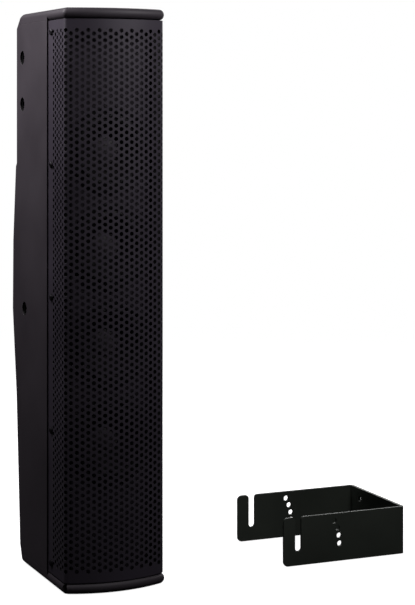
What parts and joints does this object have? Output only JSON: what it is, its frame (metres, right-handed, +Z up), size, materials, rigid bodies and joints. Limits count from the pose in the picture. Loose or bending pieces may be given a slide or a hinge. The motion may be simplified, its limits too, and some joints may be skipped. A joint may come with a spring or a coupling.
{
  "type": "column loudspeaker",
  "caption": "Slim column loudspeaker with a bowed perforated grille over a line of small drivers, a rear connector plate and a separate slotted steel U bracket.",
  "frame": {"origin": "on the underside, on the cabinet's mid plane, at the line joining its two front corners", "axes": "+X to the cabinet's right as seen from the front (towards the bracket), +Y towards the back, +Z up the column; the bowed front faces -Y"},
  "size_m": [0.4616, 0.2275, 0.685],
  "materials": {
    "black_texture_paint": "satin black textured paint over plywood",
    "baffle_paint": "matt black paint over plywood",
    "plywood": "bare birch plywood",
    "grille_powder_coat": "satin black powder coat on perforated steel",
    "black_screw_steel": "black zinc plated steel",
    "insert_steel": "dark zinc plated steel",
    "basket_enamel": "black enamel on pressed steel",
    "cone_paper": "black pressed paper with a fibrous surface",
    "dust_cap_cloth": "black doped cloth",
    "coil_copper": "enamelled copper wire",
    "surround_rubber": "matt black rubber",
    "spider_cloth": "phenolic impregnated cloth",
    "gasket_foam": "dense black foam",
    "zinc_plate": "bright zinc plated steel",
    "ferrite": "dark grey sintered ferrite",
    "terminal_brass": "tinned brass",
    "plate_powder_coat": "black powder coat with plain white ticks",
    "socket_plastic": "black glass filled polyamide",
    "switch_phenolic": "brown phenolic moulding",
    "knob_plastic": "black phenolic with a white pointer line",
    "lamination_steel": "varnished silicon steel laminations",
    "bobbin_plastic": "natural polyamide",
    "board_laminate": "green solder mask on glass epoxy",
    "component_mix": "wound copper choke, sleeved capacitors and cement resistors",
    "zinc_screw": "bright zinc plated steel",
    "cable_sheath": "black flexible sheath",
    "wadding_fibre": "white polyester fibre",
    "bracket_powder_coat": "fine black powder coat on bent steel"
  },
  "bodies": {
    "cabinet": {"top_panel": "black_texture_paint", "bottom_panel": "black_texture_paint", "side_left": "black_texture_paint", "side_right": "black_texture_paint", "baffle": "baffle_paint", "rear_upper": "black_texture_paint", "rear_step": "black_texture_paint", "rear_mid": "black_texture_paint", "rear_taper": "black_texture_paint", "rear_low": "black_texture_paint", "battens": "plywood", "brace": "plywood", "grille": "grille_powder_coat", "grille_screws": "black_screw_steel", "inserts_m8": "insert_steel", "inserts_m6": "insert_steel", "basket_1": "basket_enamel", "basket_2": "basket_enamel", "basket_3": "basket_enamel", "basket_4": "basket_enamel", "surrounds": "surround_rubber", "spiders": "spider_cloth", "gaskets": "gasket_foam", "top_plates": "zinc_plate", "magnets": "ferrite", "yokes": "zinc_plate", "terminals": "terminal_brass", "driver_screws": "black_screw_steel", "connector_plate": "plate_powder_coat", "socket_in": "socket_plastic", "socket_out": "socket_plastic", "socket_contacts": "terminal_brass", "plate_screws": "black_screw_steel", "tap_switch": "switch_phenolic", "transformer_core": "lamination_steel", "transformer_bobbin": "bobbin_plastic", "transformer_winding": "coil_copper", "transformer_strap": "zinc_plate", "filter_board": "board_laminate", "filter_parts": "component_mix", "inner_screws": "zinc_screw", "wiring": "cable_sheath", "wadding": "wadding_fibre"},
    "moving_1": {"cone_1": "cone_paper", "dust_cap_1": "dust_cap_cloth", "voice_coil_1": "coil_copper"},
    "moving_2": {"cone_2": "cone_paper", "dust_cap_2": "dust_cap_cloth", "voice_coil_2": "coil_copper"},
    "moving_3": {"cone_3": "cone_paper", "dust_cap_3": "dust_cap_cloth", "voice_coil_3": "coil_copper"},
    "moving_4": {"cone_4": "cone_paper", "dust_cap_4": "dust_cap_cloth", "voice_coil_4": "coil_copper"},
    "tap_selector": {"tap_spindle": "zinc_plate", "tap_knob": "knob_plastic"},
    "bracket": {"bracket": "bracket_powder_coat"}
  },
  "joints": [
    {"name": "cone_1_travel", "type": "slide", "parent": "cabinet", "child": "moving_1", "axis": [0, -1, 0], "range_m": [-0.003, 0.003], "stiffness_N_per_m": 1800},
    {"name": "cone_2_travel", "type": "slide", "parent": "cabinet", "child": "moving_2", "axis": [0, -1, 0], "range_m": [-0.003, 0.003], "stiffness_N_per_m": 1800},
    {"name": "cone_3_travel", "type": "slide", "parent": "cabinet", "child": "moving_3", "axis": [0, -1, 0], "range_m": [-0.003, 0.003], "stiffness_N_per_m": 1800},
    {"name": "cone_4_travel", "type": "slide", "parent": "cabinet", "child": "moving_4", "axis": [0, -1, 0], "range_m": [-0.003, 0.003], "stiffness_N_per_m": 1800},
    {"name": "tap_selector_turn", "type": "hinge", "parent": "cabinet", "child": "tap_selector", "pos_m": [0, 0.19326, 0.38801], "axis": [0, 0.9997, 0.0235], "range_deg": [0, 150]},
    {"name": "bracket_lift", "type": "slide", "parent": "cabinet", "child": "bracket", "axis": [0, 0, 1], "range_m": [0, 0.3]}
  ],
  "couplings": [
    {"joint": "cone_2_travel", "follows": "cone_1_travel", "ratio": 1},
    {"joint": "cone_3_travel", "follows": "cone_1_travel", "ratio": 1},
    {"joint": "cone_4_travel", "follows": "cone_1_travel", "ratio": 1}
  ]
}
